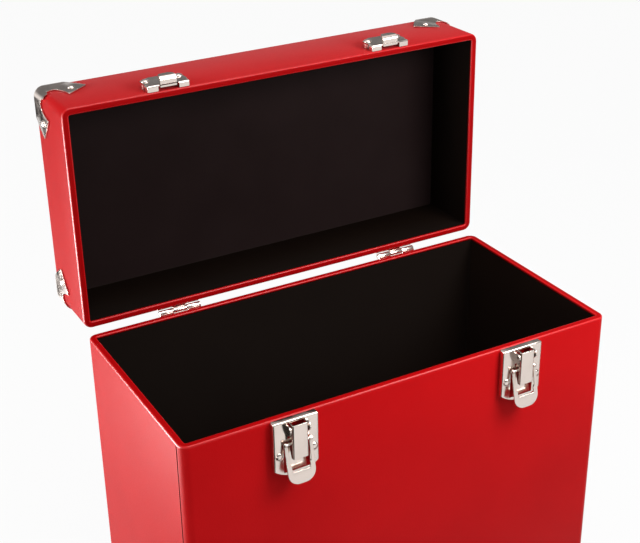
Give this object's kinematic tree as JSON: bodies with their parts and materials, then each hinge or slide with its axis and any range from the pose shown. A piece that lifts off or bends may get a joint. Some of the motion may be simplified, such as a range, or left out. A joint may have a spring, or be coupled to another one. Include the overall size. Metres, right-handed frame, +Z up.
{
  "type": "record carrying case",
  "caption": "Upright covered carrying case for records, with a hinged tray lid, draw latches, corner protectors, feet and a folding handle.",
  "frame": {"origin": "under the middle of the whole part's box with the lid standing open, on the plane the feet stand on", "axes": "+Z up, the front with the latches towards -Y, the hinges towards +Y, +X to the right seen from the front"},
  "size_m": [0.3616, 0.2692, 0.4853],
  "materials": {
    "leatherette": "satin, finely grained red leatherette",
    "lining": "matt black lining",
    "board": "raw fibreboard, hidden",
    "nickel": "bright nickel plate on stamped steel",
    "grip_vinyl": "satin black vinyl over a padded core",
    "foot_rubber": "matt black rubber"
  },
  "bodies": {
    "case": {"body_covering": "leatherette", "body_lining": "lining", "body_floor_board": "board", "body_front_board": "board", "body_back_board": "board", "body_left_board": "board", "body_right_board": "board", "body_corner_front_left": "nickel", "body_corner_front_right": "nickel", "body_corner_back_left": "nickel", "body_corner_back_right": "nickel", "foot_front_left": "foot_rubber", "foot_front_right": "foot_rubber", "foot_back_left": "foot_rubber", "foot_back_right": "foot_rubber", "latch_base_left": "nickel", "latch_pin_left": "nickel", "latch_rivet_left_1": "nickel", "latch_rivet_left_2": "nickel", "hinge_body_leaf_left": "nickel", "hinge_pin_left": "nickel", "latch_base_right": "nickel", "latch_pin_right": "nickel", "latch_rivet_right_1": "nickel", "latch_rivet_right_2": "nickel", "hinge_body_leaf_right": "nickel", "hinge_pin_right": "nickel"},
    "lid": {"lid_covering": "leatherette", "lid_lining": "lining", "lid_top_board": "board", "lid_front_board": "board", "lid_back_board": "board", "lid_left_board": "board", "lid_right_board": "board", "lid_corner_front_left": "nickel", "lid_corner_front_right": "nickel", "lid_corner_back_left": "nickel", "lid_corner_back_right": "nickel", "strike_left": "nickel", "strike_rivet_left_1": "nickel", "strike_rivet_left_2": "nickel", "hinge_lid_leaf_left": "nickel", "handle_bracket_left": "nickel", "strike_right": "nickel", "strike_rivet_right_1": "nickel", "strike_rivet_right_2": "nickel", "hinge_lid_leaf_right": "nickel", "handle_bracket_right": "nickel"},
    "left_lever": {"latch_lever_left": "nickel"},
    "left_loop": {"latch_loop_left": "nickel"},
    "right_lever": {"latch_lever_right": "nickel"},
    "right_loop": {"latch_loop_right": "nickel"},
    "handle": {"handle_grip": "grip_vinyl", "handle_loop_left": "nickel", "handle_loop_right": "nickel"}
  },
  "joints": [
    {"name": "lid_hinge", "type": "hinge", "parent": "case", "child": "lid", "pos_m": [0, 0.05775, 0.2963], "axis": [1, 0, 0], "range_deg": [0, 90.5]},
    {"name": "latch_lever_left_swing", "type": "hinge", "parent": "case", "child": "left_lever", "pos_m": [-0.0953, -0.12965, 0.2905], "axis": [1, 0, 0], "range_deg": [-120, 0]},
    {"name": "latch_lever_right_swing", "type": "hinge", "parent": "case", "child": "right_lever", "pos_m": [0.0953, -0.12965, 0.2905], "axis": [1, 0, 0], "range_deg": [-120, 0]},
    {"name": "latch_loop_left_swing", "type": "hinge", "parent": "left_lever", "child": "left_loop", "pos_m": [-0.0953, -0.12785, 0.2782], "axis": [-1, 0, 0], "range_deg": [0, 168]},
    {"name": "latch_loop_right_swing", "type": "hinge", "parent": "right_lever", "child": "right_loop", "pos_m": [0.0953, -0.12785, 0.2782], "axis": [-1, 0, 0], "range_deg": [0, 168]},
    {"name": "handle_swing", "type": "hinge", "parent": "lid", "child": "handle", "pos_m": [0, 0.12059, 0.3865], "axis": [1, 0, 0], "range_deg": [0, 156]}
  ]
}
